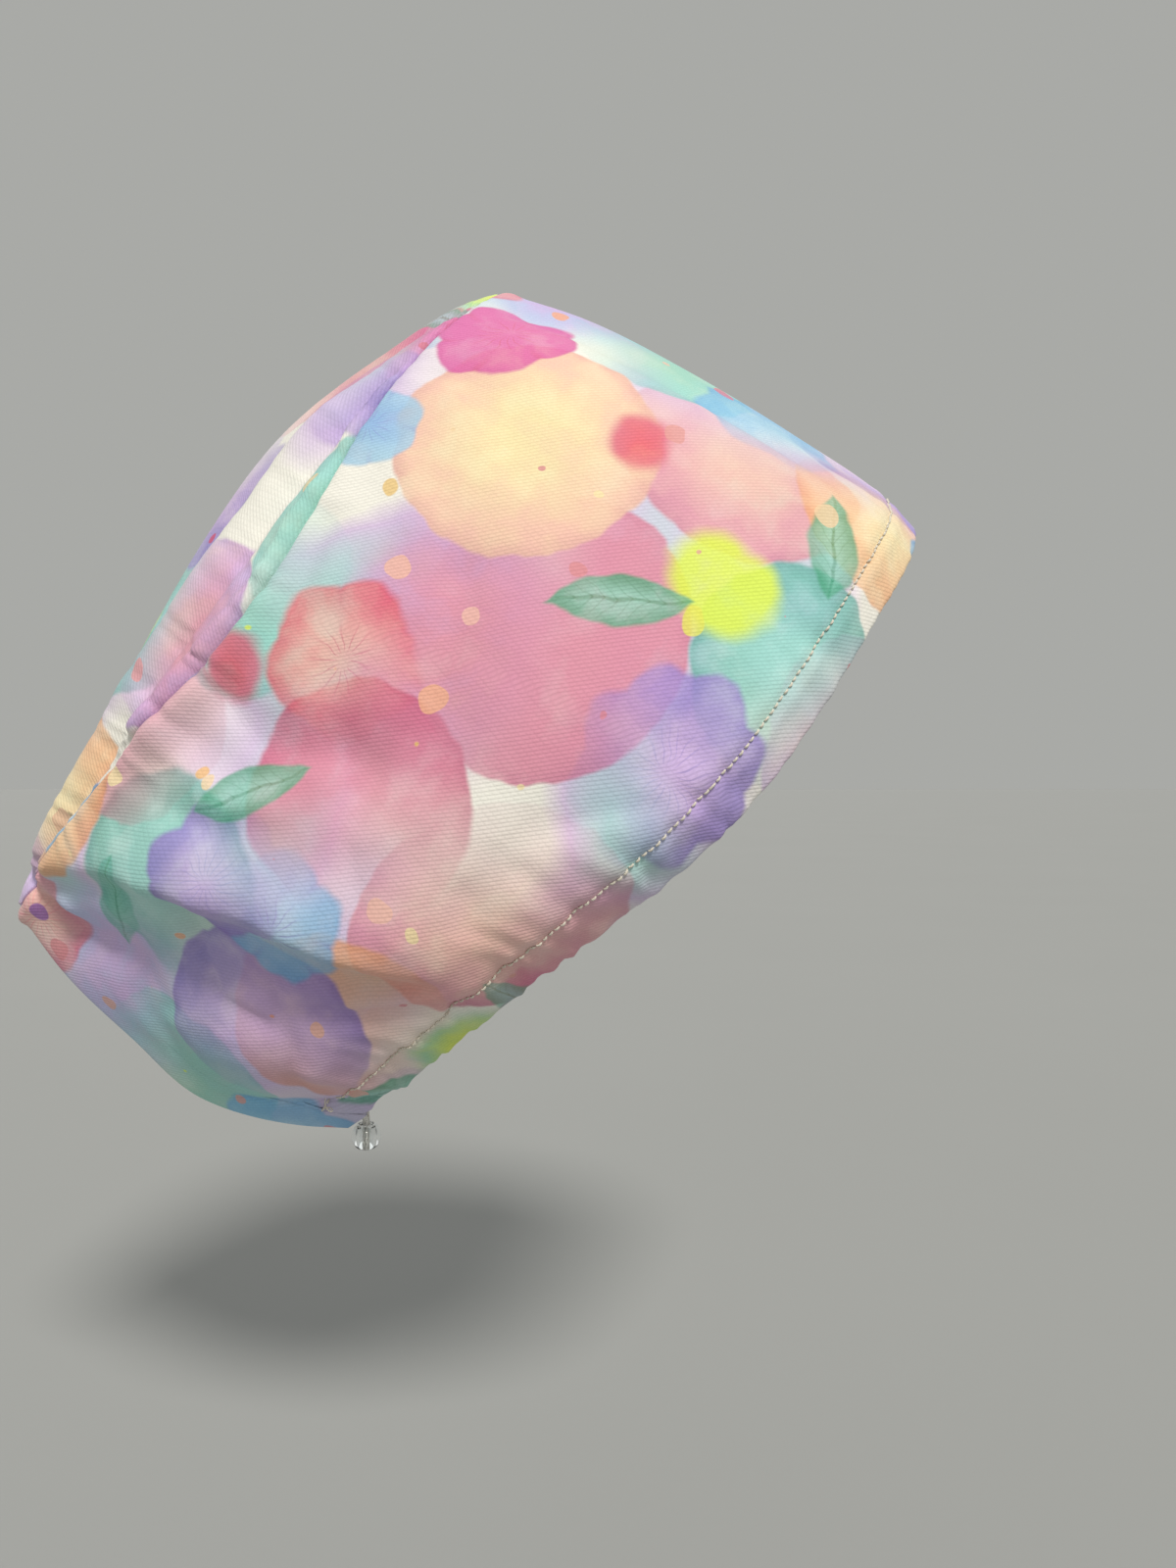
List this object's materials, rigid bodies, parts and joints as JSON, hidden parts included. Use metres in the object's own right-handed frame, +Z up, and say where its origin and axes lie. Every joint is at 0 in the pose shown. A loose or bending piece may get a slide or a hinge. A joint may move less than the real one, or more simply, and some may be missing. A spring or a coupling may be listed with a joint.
{
  "type": "scrub cap",
  "caption": "Bouffant cotton scrub cap with a hair pouch, a pointed crown panel and a drawcord hem with a ball end at the nape.",
  "frame": {"origin": "middle of the head opening, halfway between the front and the back of the hem", "axes": "+X towards the wearer's forehead, +Y towards the wearer's left, +Z up with the cap tipped back as it is worn"},
  "size_m": [0.3055, 0.1625, 0.2909],
  "materials": {
    "band_twill": "matt printed cotton twill in watercolour pastels, paler on the inner face",
    "crown_twill": "matt printed cotton twill in watercolour pastels, paler on the inner face",
    "hem_twill": "matt printed cotton twill, turned up and lock-stitched in cream thread",
    "elastic_cord": "white braided elastic",
    "clear_bead": "clear moulded plastic, glossy"
  },
  "bodies": {
    "root": {"band": "band_twill", "crown": "crown_twill", "hem_casing": "hem_twill", "drawcord": "elastic_cord", "cord_bead": "clear_bead"}
  },
  "joints": []
}
